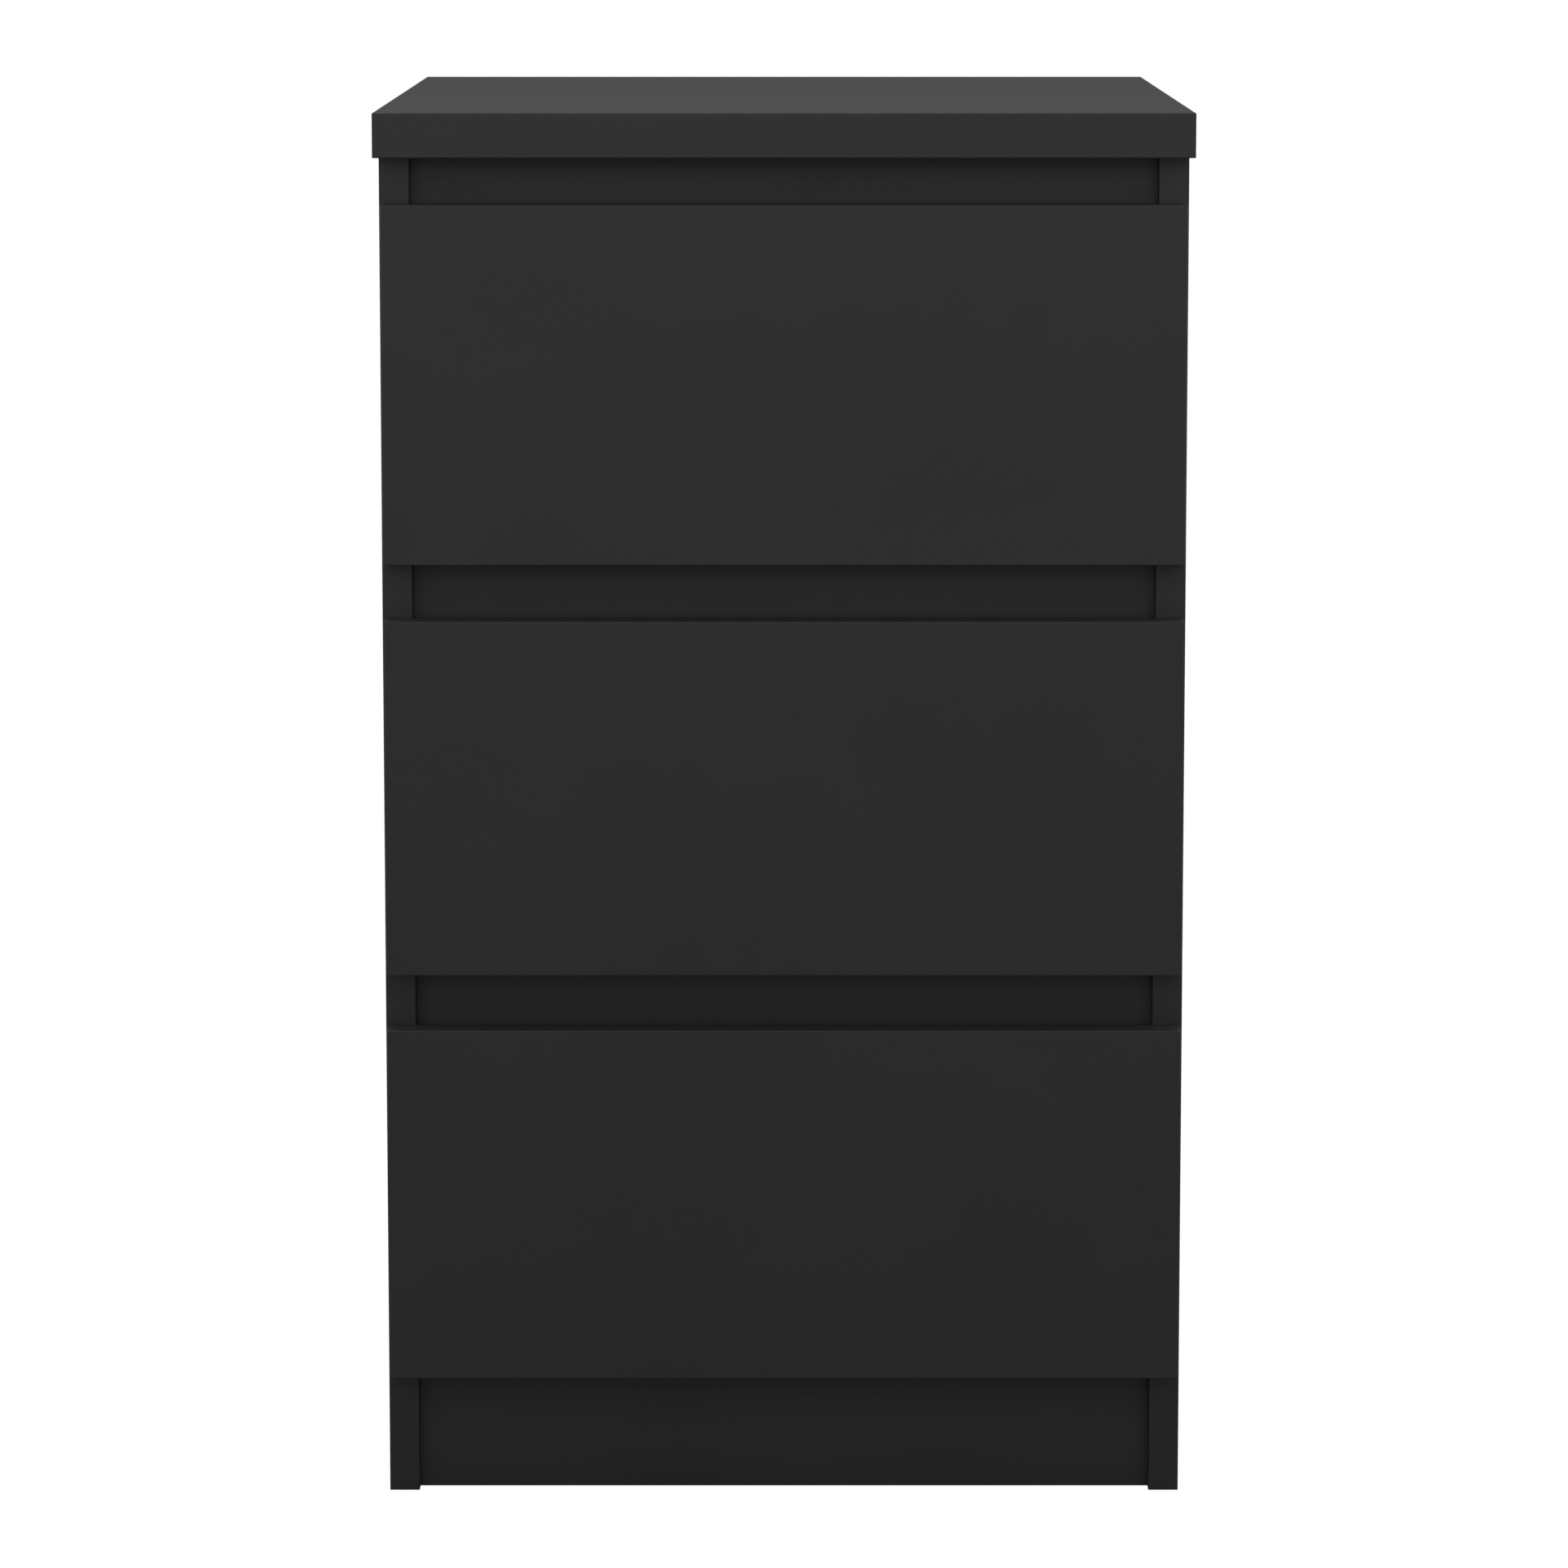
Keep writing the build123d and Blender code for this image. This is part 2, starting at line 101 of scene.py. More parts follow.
def mixValue(tree, factor, low, high):
    return addNode(tree, "ShaderNodeMix", {"Factor": factor, "A": low, "B": high}).outputs[0]


def newTree(name, kind, inputs, outputs):
    # an input's kind follows from its first value, or is given by name where it has none
    tree = bpy.data.node_groups.new(name, kind)
    kinds = {float: "NodeSocketFloat", int: "NodeSocketInt", tuple: "NodeSocketVector"}
    for label, value in inputs.items():
        named = kinds.get(type(value), "NodeSocket" + str(value))
        socket = tree.interface.new_socket(label, in_out="INPUT", socket_type=named)
        if type(value) in kinds:
            socket.default_value = value
    for label, socketKind in outputs.items():
        tree.interface.new_socket(label, in_out="OUTPUT", socket_type="NodeSocket" + socketKind)
    return tree, tree.nodes.new("NodeGroupInput").outputs, tree.nodes.new("NodeGroupOutput").inputs


# camera, a few steps back and a little above the top board
cameraSettings = {
    "distance": 3.2,     # ahead of the top board's front face
    "aboveTop": 0.131,
    "tilt": 8.23,        # degrees below level
    "lens": 149.4,
    "sensor": 36.0,
    "farthestSeen": 50.0,
}


def addCamera(settings):
    data = bpy.data.cameras.new("camera")
    data.sensor_width = settings["sensor"]
    data.lens = settings["lens"]
    data.clip_end = settings["farthestSeen"]
    camera = bpy.data.objects.new("camera", data)
    camera.location = (0.0, cadLow.y - settings["distance"], cadHigh.z + settings["aboveTop"])
    camera.rotation_euler = (math.radians(90.0 - settings["tilt"]), 0.0, 0.0)
    bpy.context.scene.collection.objects.link(camera)
    bpy.context.scene.camera = camera


addCamera(cameraSettings)

# a white floor that runs into a white backdrop, with softboxes all round
studio = {
    "floorSize": 16.0,
    "floorGlow": 1.12,       # what the floor gives off by itself where it is seen
    "shadowShare": 0.12,     # how much of what is seen of the floor is lit, and so can be shaded
    "floorPaper": 0.9,       # how pale that lit share is
    "floorBounce": 0.35,     # how pale the floor is to the light that it throws back
    "backdrop": 1.0,
    "skyAbove": 0.30,        # light from overhead, from the horizon and from below it
    "skyLevel": 0.28,
    "skyBelow": 0.04,
    "skyFade": 0.3,          # how far below the horizon it has faded to skyBelow
    "softboxes": (
        # name, place, aimed at, width, height, power
        ("high front softbox", (0.0, -2.0, 1.5), (0.0, -0.25, 0.40), 3.4, 1.2, 12.2),
        ("low front softbox", (0.0, -3.0, 0.8), (0.0, -0.25, 0.40), 5.0, 1.2, 8.1),
        ("left softbox", (-2.6, 0.15, 1.0), (0.0, 0.0, 0.35), 1.6, 1.4, 20.0),
        ("right softbox", (2.6, 0.15, 1.0), (0.0, 0.0, 0.35), 1.6, 1.4, 20.0),
        ("left rear softbox", (-2.8, 1.8, 1.5), (0.0, 0.0, 0.35), 1.4, 1.2, 7.0),
        ("right rear softbox", (2.8, 1.8, 1.5), (0.0, 0.0, 0.35), 1.4, 1.2, 7.0),
        ("overhead softbox", (0.0, 0.35, 2.6), (0.0, 0.1, 0.7), 1.8, 1.8, 10.0),
    ),
}


def addFloor(settings):
    half = settings["floorSize"] / 2
    shape = bpy.data.meshes.new("floor")
    corners = [(-half, -half, 0.0), (half, -half, 0.0), (half, half, 0.0), (-half, half, 0.0)]
    shape.from_pydata(corners, [], [(0, 1, 2, 3)])
    floor = bpy.data.objects.new("floor", shape)
    bpy.context.scene.collection.objects.link(floor)
    paper = bpy.data.materials.new("white paper")
    paper.use_nodes = True
    tree = paper.node_tree
    tree.nodes.clear()
    matte, shaded = (
        addNode(tree, "ShaderNodeBsdfDiffuse", {"Color": [settings[tone]] * 3 + [1.0]}).outputs[0]
        for tone in ("floorBounce", "floorPaper"))
    glow = addNode(tree, "ShaderNodeEmission", {"Strength": settings["floorGlow"]}).outputs[0]
    seen = addNode(tree, "ShaderNodeMixShader", {0: settings["shadowShare"], 1: glow, 2: shaded})
    path = addNode(tree, "ShaderNodeLightPath")
    mixed = addNode(tree, "ShaderNodeMixShader",
                    {0: path.outputs["Is Camera Ray"], 1: matte, 2: seen.outputs[0]})
    addNode(tree, "ShaderNodeOutputMaterial", {"Surface": mixed.outputs[0]})
    shape.materials.append(paper)


def addWorld(settings):
    world = bpy.data.worlds.new("studio")
    bpy.context.scene.world = world
    world.use_nodes = True
    tree = world.node_tree
    tree.nodes.clear()
    direction = addNode(tree, "ShaderNodeTexCoord").outputs["Generated"]
    height = addNode(tree, "ShaderNodeSeparateXYZ", {0: direction}).outputs["Z"]
    above = addNode(tree, "ShaderNodeMapRange", {
        "Value": height, "From Min": 0.0, "From Max": 1.0,
        "To Min": settings["skyLevel"], "To Max": settings["skyAbove"]}).outputs[0]
    below = addNode(tree, "ShaderNodeMapRange", {
        "Value": height, "From Min": -settings["skyFade"], "From Max": 0.0,
        "To Min": settings["skyBelow"] - settings["skyLevel"], "To Max": 0.0}).outputs[0]
    strength = calc(tree, "ADD", above, below)
    white = (1.0, 1.0, 1.0, 1.0)
    lit = addNode(tree, "ShaderNodeBackground", {"Color": white, "Strength": strength}).outputs[0]
    seen = addNode(tree, "ShaderNodeBackground", {
        "Color": white, "Strength": settings["backdrop"]}).outputs[0]
    path = addNode(tree, "ShaderNodeLightPath")
    mixed = addNode(tree, "ShaderNodeMixShader", {0: path.outputs["Is Camera Ray"], 1: lit, 2: seen})
    addNode(tree, "ShaderNodeOutputWorld", {"Surface": mixed.outputs[0]})


def addSoftbox(name, place, target, width, height, power):
    data = bpy.data.lights.new(name, "AREA")
    data.shape = "RECTANGLE"
    data.size = width
    data.size_y = height
    data.energy = power
    softbox = bpy.data.objects.new(name, data)
    softbox.location = place
    softbox.rotation_euler = (Vector(target) - Vector(place)).to_track_quat("-Z", "Y").to_euler()
    softbox.visible_camera = False
    bpy.context.scene.collection.objects.link(softbox)


addFloor(studio)
addWorld(studio)
for softboxSettings in studio["softboxes"]:
    addSoftbox(*softboxSettings)
bpy.context.scene.view_settings.view_transform = "Standard"
print("camera, floor and lights set")


# effects that several finishes share, as shader groups.
# The first is a cloud of broad soft blotches and the fine grain of a pressed or coated skin.
mottleNoises = {
    "Cloud": {"Scale": 9.0, "Detail": 4.0, "Roughness": 0.6, "Distortion": 0.4},
    "Grain": {"Scale": 1400.0, "Detail": 2.0, "Roughness": 0.5},
}


def makeMottle(noises):
    scales = {label + " Scale": numbers["Scale"] for label, numbers in noises.items()}
    tree, given, result = newTree(
        "mottle", "ShaderNodeTree", {"Vector": (0.0, 0.0, 0.0), **scales},
        {label: "Float" for label in noises})
    for label, numbers in noises.items():
        noise = addNode(tree, "ShaderNodeTexNoise", {
            **numbers, "Vector": given["Vector"], "Scale": given[label + " Scale"]})
        tree.links.new(noise.outputs["Fac"], result[label])
    return tree


facingLimit = 0.9     # cosine between a face and an axis, from which it counts as facing that way


def makeFacing(limit):
    # mask of the faces that look along an axis; both ways when Two Sided is 1
    tree, given, result = newTree(
        "facing", "ShaderNodeTree",
        {"Normal": (0.0, 0.0, 1.0), "Axis": (0.0, 0.0, 1.0), "Two Sided": 0.0},
        {"Mask": "Float"})
    along = addNode(tree, "ShaderNodeVectorMath", {0: given["Normal"], 1: given["Axis"]},
                    operation="DOT_PRODUCT").outputs["Value"]
    either = mixValue(tree, given["Two Sided"], along, calc(tree, "ABSOLUTE", along))
    tree.links.new(calc(tree, "GREATER_THAN", either, limit), result["Mask"])
    return tree


# bare board: flakes in the core, dust towards the faces
pressedWood = {
    "flakeScale": (1150.0, 340.0, 340.0),     # flakes lie flat in the board
    "dustScale": 1900.0,
    "dustContrast": 0.5,
    "darkestDust": 0.3,
    "dustFrom": 0.8,         # depth at which the dust begins
    "raggedness": 0.5,       # how unevenly it does
    "bend": 0.0012,          # how far the flakes are bent out of line
    "bendScale": 160.0,
    "tones": ((0.0, (0.13, 0.07, 0.032, 1.0)), (0.16, (0.25, 0.15, 0.078, 1.0)),
              (0.5, (0.38, 0.25, 0.135, 1.0)), (1.0, (0.53, 0.375, 0.22, 1.0))),
}


def makeChips(settings):
    # Depth is 0 in the middle of the board and 1 at its faces
    tree, given, result = newTree(
        "chips", "ShaderNodeTree",
        {"Vector": (0.0, 0.0, 0.0), "Flake Scale": settings["flakeScale"],
         "Dust Scale": settings["dustScale"], "Depth": 1.0},
        {"Color": "Color", "Height": "Float"})
    bent = addNode(tree, "ShaderNodeTexNoise", {
        "Vector": given["Vector"], "Scale": settings["bendScale"]})
    shift = addNode(tree, "ShaderNodeVectorMath", {0: bent.outputs["Color"], "Scale": settings["bend"]},
                    operation="SCALE").outputs[0]
    place = addNode(tree, "ShaderNodeVectorMath", {0: given["Vector"], 1: shift},
                    operation="ADD").outputs[0]
    drawn = addNode(tree, "ShaderNodeVectorMath", {0: place, 1: given["Flake Scale"]},
                    operation="MULTIPLY").outputs[0]
    flakes = addNode(tree, "ShaderNodeTexVoronoi", {"Vector": drawn, "Scale": 1.0})
    dust = addNode(tree, "ShaderNodeTexVoronoi", {"Vector": place, "Scale": given["Dust Scale"]})
    ragged = calc(tree, "MULTIPLY_ADD", bent.outputs["Fac"], settings["raggedness"], given["Depth"])
    outer = addNode(tree, "ShaderNodeMapRange", {
        "Value": ragged, "From Min": settings["dustFrom"], "From Max": 1.0}).outputs[0]
    flakeTone, dustTone = (
        addNode(tree, "ShaderNodeSeparateColor", {0: cells.outputs["Color"]}).outputs[0]
        for cells in (flakes, dust))
    dustTone = calc(tree, "MULTIPLY_ADD", dustTone, settings["dustContrast"], settings["darkestDust"])
    ramp = addNode(tree, "ShaderNodeValToRGB", {0: mixValue(tree, outer, flakeTone, dustTone)})
    first, last = ramp.color_ramp.elements
    first.color, last.color = settings["tones"][0][1], settings["tones"][-1][1]
    for position, colour in settings["tones"][1:-1]:
        ramp.color_ramp.elements.new(position).color = colour
    tree.links.new(ramp.outputs["Color"], result["Color"])
    deep = mixValue(tree, outer, flakes.outputs["Distance"], dust.outputs["Distance"])
    tree.links.new(calc(tree, "SUBTRACT", 1.0, deep), result["Height"])
    return tree


mottle = makeMottle(mottleNoises)
facing = makeFacing(facingLimit)
chips = makeChips(pressedWood)
noiseRange = (0.3, 0.7)     # nearly all of a noise's values lie between these
rightwards, frontwards, backwards = (1.0, 0.0, 0.0), (0.0, -1.0, 0.0), (0.0, 1.0, 0.0)
downwards, upwards = (0.0, 0.0, -1.0), (0.0, 0.0, 1.0)
broadAxes = {"x": rightwards, "y": backwards, "z": upwards}


def newMaterial(name):
    made = bpy.data.materials.new(name)
    made.use_nodes = True
    tree = made.node_tree
    place = addNode(tree, "ShaderNodeTexCoord")
    return made, tree, tree.nodes["Principled BSDF"], place.outputs["Object"], place.outputs["Normal"]


def placeGroup(tree, group, inputs):
    return addNode(tree, "ShaderNodeGroup", inputs, node_tree=group).outputs


def mixColour(tree, factor, low, high):
    # its colour sockets share their names with others, so they go by number
    return addNode(tree, "ShaderNodeMix", {0: factor, 6: low, 7: high}, data_type="RGBA").outputs[2]


def spread(tree, noise, low=0.0, high=1.0):
    # a noise, stretched over the range from low to high
    return addNode(tree, "ShaderNodeMapRange", {
        "Value": noise, "From Min": noiseRange[0], "From Max": noiseRange[1],
        "To Min": low, "To Max": high}).outputs[0]


def facingAny(tree, normal, axes):
    # mask of the faces that look along any of the axes
    masks = [placeGroup(tree, facing, {"Normal": normal, "Axis": axis})["Mask"] for axis in axes]
    mask = masks[0]
    for other in masks[1:]:
        mask = calc(tree, "MAXIMUM", mask, other)
    return mask


def wireUp(tree, shader, colour, rough, height, numbers):
    bump = addNode(tree, "ShaderNodeBump", {
        "Height": height, "Distance": numbers["reliefDepth"], "Strength": numbers["reliefStrength"]})
    tree.links.new(colour, shader.inputs["Base Color"])
    tree.links.new(rough, shader.inputs["Roughness"])
    tree.links.new(bump.outputs[0], shader.inputs["Normal"])


# black melamine boards; the broad faces are pressed paper, the edges banded with plastic, and the fronts'
# bands carry painted light on their upper edges in the shaded gaps
melamine = {
    "dark": (0.0150, 0.0150, 0.0152, 1.0),
    "light": (0.0185, 0.0185, 0.0186, 1.0),
    "roughness": (0.46, 0.54),
    "caseBand": (0.0145, 0.0145, 0.0147, 1.0),
    # painted light: the fronts' edge band is nearly twice as pale as the case's, so their upper edges in
    # the shaded gaps between fronts look lit
    "frontBand": (0.0275, 0.0275, 0.0278, 1.0),
    "bandRoughness": (0.44, 0.50),
    "bareRoughness": 0.9,
    "reliefDepth": 0.00003,
    "reliefStrength": 0.35,
}


def makeMelamine(name, broadAxis, band, bareAxes=()):
    made, tree, shader, place, normal = newMaterial(name)
    skin = placeGroup(tree, mottle, {"Vector": place})
    sheet = mixColour(tree, spread(tree, skin["Cloud"]), melamine["dark"], melamine["light"])
    broad = placeGroup(tree, facing, {
        "Normal": normal, "Axis": broadAxes[broadAxis], "Two Sided": 1.0})["Mask"]
    colour = mixColour(tree, broad, melamine[band], sheet)
    rough = mixValue(tree, broad, spread(tree, skin["Cloud"], *melamine["bandRoughness"]),
                     spread(tree, skin["Grain"], *melamine["roughness"]))
    height = skin["Grain"]
    if bareAxes:
        # the side panels stand equally far from the middle, so one sum serves both
        low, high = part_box("left_side_panel")
        across = calc(tree, "ABSOLUTE", addNode(tree, "ShaderNodeSeparateXYZ", {0: place}).outputs[0])
        fromCore = calc(tree, "ABSOLUTE", calc(tree, "SUBTRACT", across, abs(low.x + high.x) / 2))
        core = placeGroup(tree, chips, {
            "Vector": place, "Depth": calc(tree, "DIVIDE", fromCore, (high.x - low.x) / 2)})
        bare = facingAny(tree, normal, bareAxes)
        colour = mixColour(tree, bare, colour, core["Color"])
        rough = mixValue(tree, bare, rough, melamine["bareRoughness"])
        height = mixValue(tree, bare, height, core["Height"])
    wireUp(tree, shader, colour, rough, height, melamine)
    return made


# drawer boxes: fibreboard wrapped in grey foil, bare at the ends and along the lower edge
foil = {
    "dark": (0.275, 0.275, 0.27, 1.0),
    "light": (0.305, 0.305, 0.298, 1.0),
    "roughness": (0.42, 0.52),
    "cloudScale": 14.0,
    "grainScale": 900.0,
    "bareAxes": (downwards, backwards),
    "bareRoughness": 0.85,
    "fibreScale": 2600.0,
    "reliefDepth": 0.00005,
    "reliefStrength": 0.3,
}


def makeFoil(name):
    made, tree, shader, place, normal = newMaterial(name)
    skin = placeGroup(tree, mottle, {
        "Vector": place, "Cloud Scale": foil["cloudScale"], "Grain Scale": foil["grainScale"]})
    wrap = mixColour(tree, spread(tree, skin["Cloud"]), foil["dark"], foil["light"])
    core = placeGroup(tree, chips, {"Vector": place, "Dust Scale": foil["fibreScale"]})
    bare = facingAny(tree, normal, foil["bareAxes"])
    colour = mixColour(tree, bare, wrap, core["Color"])
    rough = mixValue(tree, bare, spread(tree, skin["Grain"], *foil["roughness"]), foil["bareRoughness"])
    wireUp(tree, shader, colour, rough, skin["Grain"], foil)
    return made


# hardboard: one lacquered face, the other bare and marked by the press's wire screen
hardboard = {
    "bareDark": (0.085, 0.047, 0.026, 1.0),
    "bareLight": (0.205, 0.125, 0.072, 1.0),
    "bareRoughness": 0.78,
    "coatRoughness": 0.45,
    "cloudScale": 22.0,
    "grainScale": 700.0,
    "cloudShare": 0.3,       # broad blotches against fine fibres
    "fibreScale": 420.0,
    "screenPitch": 0.0022,
    "screenShare": 0.35,     # the screen's marks against the grain
    "reliefDepth": 0.00012,
    "reliefStrength": 0.35,
}


def makeHardboard(name, coatAxis, coatDark, coatLight):
    made, tree, shader, place, normal = newMaterial(name)
    skin = placeGroup(tree, mottle, {
        "Vector": place, "Cloud Scale": hardboard["cloudScale"], "Grain Scale": hardboard["grainScale"]})
    fibre = placeGroup(tree, mottle, {"Vector": place, "Cloud Scale": hardboard["fibreScale"]})
    blotch = spread(tree, skin["Cloud"])
    fleck = mixValue(tree, hardboard["cloudShare"], spread(tree, fibre["Cloud"]), blotch)
    bare = mixColour(tree, fleck, hardboard["bareDark"], hardboard["bareLight"])
    coat = mixColour(tree, blotch, coatDark, coatLight)
    coated = facingAny(tree, normal, [coatAxis])
    part = addNode(tree, "ShaderNodeSeparateXYZ", {0: place}).outputs
    waves = [calc(tree, "SINE", calc(tree, "MULTIPLY", part[axis], math.tau / hardboard["screenPitch"]))
             for axis in "XYZ"]
    screen = calc(tree, "MULTIPLY", waves[0], calc(tree, "ADD", waves[1], waves[2]))
    pressed = calc(tree, "MULTIPLY_ADD", screen, hardboard["screenShare"], skin["Grain"])
    colour = mixColour(tree, coated, bare, coat)
    rough = mixValue(tree, coated, hardboard["bareRoughness"], hardboard["coatRoughness"])
    height = mixValue(tree, coated, pressed, skin["Grain"])
    wireUp(tree, shader, colour, rough, height, hardboard)
    return made


# powder coat, zinc, nylon and beech differ only in their numbers
plainFinishes = {
    "white powder coat": {
        "dark": (0.60, 0.60, 0.575, 1.0), "light": (0.68, 0.68, 0.655, 1.0), "metallic": 0.0,
        "roughness": (0.34, 0.46), "cloudScale": 30.0, "grainScale": 1100.0, "reliefDepth": 0.00006},
    "cast zinc": {
        "dark": (0.36, 0.36, 0.37, 1.0), "light": (0.56, 0.56, 0.57, 1.0), "metallic": 1.0,
        "roughness": (0.34, 0.55), "cloudScale": 160.0, "grainScale": 2400.0, "reliefDepth": 0.00004},
    "bright zinc plate": {
        "dark": (0.56, 0.56, 0.58, 1.0), "light": (0.72, 0.72, 0.74, 1.0), "metallic": 1.0,
        "roughness": (0.20, 0.34), "cloudScale": 240.0, "grainScale": 3000.0, "reliefDepth": 0.00002},
    "natural nylon": {
        "dark": (0.66, 0.65, 0.60, 1.0), "light": (0.74, 0.73, 0.69, 1.0), "metallic": 0.0,
        "roughness": (0.36, 0.46), "cloudScale": 120.0, "grainScale": 1800.0, "reliefDepth": 0.00003},
    "turned beech": {
        "dark": (0.36, 0.22, 0.11, 1.0), "light": (0.56, 0.38, 0.22, 1.0), "metallic": 0.0,
        "roughness": (0.55, 0.70), "cloudScale": 300.0, "grainScale": 1500.0, "reliefDepth": 0.00006},
}
plainReliefStrength = 0.3


def makePlain(name):
    numbers = {"reliefStrength": plainReliefStrength, **plainFinishes[name]}
    made, tree, shader, place, _ = newMaterial(name)
    skin = placeGroup(tree, mottle, {
        "Vector": place, "Cloud Scale": numbers["cloudScale"], "Grain Scale": numbers["grainScale"]})
    colour = mixColour(tree, spread(tree, skin["Cloud"]), numbers["dark"], numbers["light"])
    rough = spread(tree, skin["Grain"], *numbers["roughness"])
    shader.inputs["Metallic"].default_value = numbers["metallic"]
    wireUp(tree, shader, colour, rough, skin["Grain"], numbers)
    return made


# the record's slots and their finishes; a melamine board's depends on the way it is thin
finishes = {
    "melamine_board": {
        "x": makeMelamine("black melamine upright", "x", "caseBand", (backwards, upwards, downwards)),
        # the fronts take the paler band, which paints light onto their shaded upper edges
        "y": makeMelamine("black melamine facing", "y", "frontBand"),
        "z": makeMelamine("black melamine lying", "z", "caseBand"),
    },
    "drawer_board": makeFoil("grey foil"),
    "back_hardboard": makeHardboard("back hardboard", frontwards,
                                    (0.016, 0.016, 0.016, 1.0), (0.022, 0.022, 0.022, 1.0)),
    "drawer_hardboard": makeHardboard("drawer hardboard", upwards,
                                      (0.25, 0.25, 0.245, 1.0), (0.29, 0.29, 0.28, 1.0)),
    "runner_steel": makePlain("white powder coat"),
    "zinc_fitting": makePlain("cast zinc"),
    "zinc_screw": makePlain("bright zinc plate"),
    "nylon": makePlain("natural nylon"),
    "beech": makePlain("turned beech"),
}


def thinAxis(name):
    low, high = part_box(name)
    size = high - low
    return min("xyz", key=lambda axis: getattr(size, axis))


for name, node in nodes.items():
    finish = finishes[slotOf[name]]
    if isinstance(finish, dict):
        finish = finish[thinAxis(name)]
    for materialSlot in node.material_slots:
        materialSlot.material = finish
print("boards, runners and fittings finished")


# fittings, turned and cut in geometry nodes and set where the frame has them.
# Each is drawn with its axis along z, its head or mouth at z 0 and the rest below.
weldDistance = 1e-6
creaseAngle = 0.6      # radians between two faces, above which the edge stays crisp
threadWire = {"sides": 3, "stepsPerTurn": 12}


def weld(tree, shape):
    return addNode(tree, "GeometryNodeMergeByDistance", {
        "Geometry": shape, "Distance": weldDistance}).outputs[0]


def turnedShape(tree, given, outline, sides, flutes=None):
    # outline: (radius input, share, height input, share) from the far end up to the head
    grid = addNode(tree, "GeometryNodeMeshGrid", {"Vertices X": len(outline), "Vertices Y": sides + 1})
    index = addNode(tree, "GeometryNodeInputIndex").outputs[0]
    ring = calc(tree, "FLOOR", calc(tree, "DIVIDE", index, sides + 1))
    angle = calc(tree, "MULTIPLY", calc(tree, "MODULO", index, sides + 1), math.tau / sides)
    pick = {}
    for part, name, share in (("radius", 0, 1), ("height", 2, 3)):
        pick[part] = addNode(tree, "GeometryNodeIndexSwitch", {0: ring}, data_type="FLOAT")
        for number, point in enumerate(outline):
            if number > 1:
                pick[part].index_switch_items.new()
            size = calc(tree, "MULTIPLY", given[point[name]], point[share])
            tree.links.new(size, pick[part].inputs[number + 1])
    radius = pick["radius"].outputs[0]
    if flutes:
        wave = calc(tree, "COSINE", calc(tree, "MULTIPLY", angle, flutes))
        halfWave = calc(tree, "MULTIPLY_ADD", wave, 0.5, 0.5)
        radius = calc(tree, "SUBTRACT", radius, calc(tree, "MULTIPLY", given["Flute Depth"], halfWave))
        radius = calc(tree, "MAXIMUM", radius, 0.0)
    place = addNode(tree, "ShaderNodeCombineXYZ", {
        "X": calc(tree, "MULTIPLY", radius, calc(tree, "COSINE", angle)),
        "Y": calc(tree, "MULTIPLY", radius, calc(tree, "SINE", angle)),
        "Z": pick["height"].outputs[0]}).outputs[0]
    wrapped = addNode(tree, "GeometryNodeSetPosition", {"Geometry": grid.outputs[0], "Position": place})
    outward = addNode(tree, "GeometryNodeFlipFaces", {0: wrapped.outputs[0]})
    return weld(tree, outward.outputs[0])


def screwThread(tree, given, rise):
    # a wire wound round the core
    spiral = addNode(tree, "GeometryNodeCurveSpiral", {
        "Resolution": threadWire["stepsPerTurn"],
        "Rotations": calc(tree, "DIVIDE", given["Thread Length"], given["Pitch"]),
        "Start Radius": given["Core Radius"], "End Radius": given["Core Radius"],
        "Height": given["Thread Length"]})
    wire = addNode(tree, "GeometryNodeCurvePrimitiveCircle", {
        "Resolution": threadWire["sides"], "Radius": given["Thread Height"]})
    wound = addNode(tree, "GeometryNodeCurveToMesh", {
        "Curve": spiral.outputs[0], "Profile Curve": wire.outputs[0], "Fill Caps": True})
    drop = addNode(tree, "ShaderNodeCombineXYZ", {"Z": rise}).outputs[0]
    return addNode(tree, "GeometryNodeTransform", {
        "Geometry": wound.outputs[0], "Translation": drop}).outputs[0]


def cutBars(tree, given, shape, angles):
    # crossed slots for the driver; half of each bar stands above the head
    cut = addNode(tree, "GeometryNodeMeshBoolean", {"Mesh 1": shape},
                  operation="DIFFERENCE", solver="EXACT")
    size = addNode(tree, "ShaderNodeCombineXYZ", {
        "X": given["Slot Length"], "Y": given["Slot Width"],
        "Z": calc(tree, "MULTIPLY", given["Slot Depth"], 2.0)}).outputs[0]
    bar = addNode(tree, "GeometryNodeMeshCube", {"Size": size}).outputs[0]
    for angle in angles:
        turned = addNode(tree, "GeometryNodeTransform", {"Geometry": bar, "Rotation": (0.0, 0.0, angle)})
        tree.links.new(turned.outputs[0], cut.inputs["Mesh 2"])
    return cut


